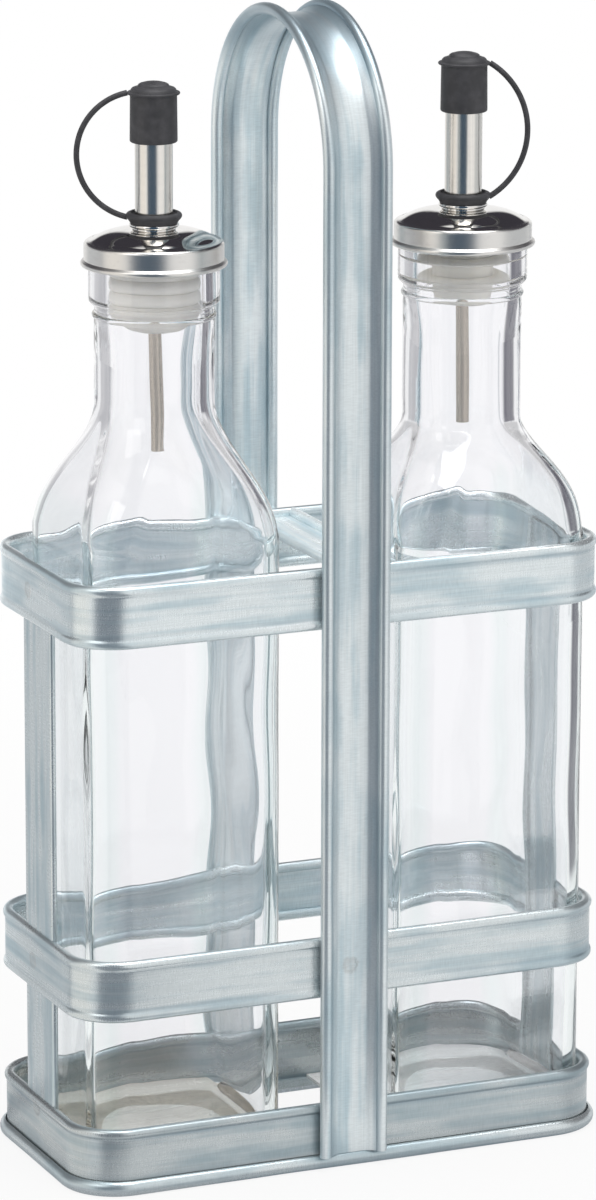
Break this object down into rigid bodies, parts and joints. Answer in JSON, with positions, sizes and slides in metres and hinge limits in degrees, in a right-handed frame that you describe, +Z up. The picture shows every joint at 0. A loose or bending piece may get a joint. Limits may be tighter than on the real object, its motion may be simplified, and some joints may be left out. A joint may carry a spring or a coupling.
{
  "type": "cruet set",
  "caption": "Square glass oil and vinegar bottles with steel pourers and tethered rubber caps, in a galvanised strip carrier with an arched handle.",
  "frame": {"origin": "on the surface that the set stands on, under the middle of the carrier", "axes": "+Z up, X along the carrier's long side, -Y towards the front"},
  "size_m": [0.133, 0.0672, 0.2645],
  "materials": {
    "galvanised_strip": "hot-dip galvanised, brushed",
    "bottle_glass": "clear pressed glass",
    "polished_steel": "polished stainless steel",
    "drawn_steel": "drawn stainless tube",
    "stopper_plastic": "translucent soft plastic",
    "black_rubber": "matt moulded rubber"
  },
  "bodies": {
    "carrier": {"base_rim": "galvanised_strip", "left_base_plate": "galvanised_strip", "right_base_plate": "galvanised_strip", "bottom_band": "galvanised_strip", "middle_band": "galvanised_strip", "top_band": "galvanised_strip", "left_end_strap": "galvanised_strip", "right_end_strap": "galvanised_strip", "divider_strap": "galvanised_strip", "carrying_handle": "galvanised_strip", "handle_welds": "galvanised_strip"},
    "left_bottle": {"left_bottle": "bottle_glass"},
    "left_pourer": {"left_stopper": "stopper_plastic", "left_pourer_cover": "polished_steel", "left_spout": "drawn_steel", "left_spout_ferrule": "polished_steel", "left_air_tube": "drawn_steel"},
    "left_tether": {"left_tether_ring": "black_rubber", "left_tether_strap": "black_rubber"},
    "left_cap": {"left_dust_cap": "black_rubber"},
    "right_bottle": {"right_bottle": "bottle_glass"},
    "right_pourer": {"right_stopper": "stopper_plastic", "right_pourer_cover": "polished_steel", "right_spout": "drawn_steel", "right_spout_ferrule": "polished_steel", "right_air_tube": "drawn_steel"},
    "right_tether": {"right_tether_ring": "black_rubber", "right_tether_strap": "black_rubber"},
    "right_cap": {"right_dust_cap": "black_rubber"}
  },
  "joints": [
    {"name": "left_bottle_lift", "type": "slide", "parent": "carrier", "child": "left_bottle", "axis": [0, 0, 1], "range_m": [0, 0.15]},
    {"name": "left_pourer_pull", "type": "slide", "parent": "left_bottle", "child": "left_pourer", "axis": [0, 0, 1], "range_m": [0, 0.05]},
    {"name": "left_tether_turn", "type": "hinge", "parent": "left_pourer", "child": "left_tether", "pos_m": [-0.0359, -0.001, 0.218], "axis": [0, 0, 1], "continuous": true},
    {"name": "left_cap_pull", "type": "slide", "parent": "left_tether", "child": "left_cap", "axis": [0, 0, 1], "range_m": [0, 0.012], "deforming": ["left_tether_strap"]},
    {"name": "right_bottle_lift", "type": "slide", "parent": "carrier", "child": "right_bottle", "axis": [0, 0, 1], "range_m": [0, 0.15]},
    {"name": "right_pourer_pull", "type": "slide", "parent": "right_bottle", "child": "right_pourer", "axis": [0, 0, 1], "range_m": [0, 0.05]},
    {"name": "right_tether_turn", "type": "hinge", "parent": "right_pourer", "child": "right_tether", "pos_m": [0.0389, -0.0035, 0.218], "axis": [0, 0, 1], "continuous": true},
    {"name": "right_cap_pull", "type": "slide", "parent": "right_tether", "child": "right_cap", "axis": [0, 0, 1], "range_m": [0, 0.012], "deforming": ["right_tether_strap"]}
  ]
}
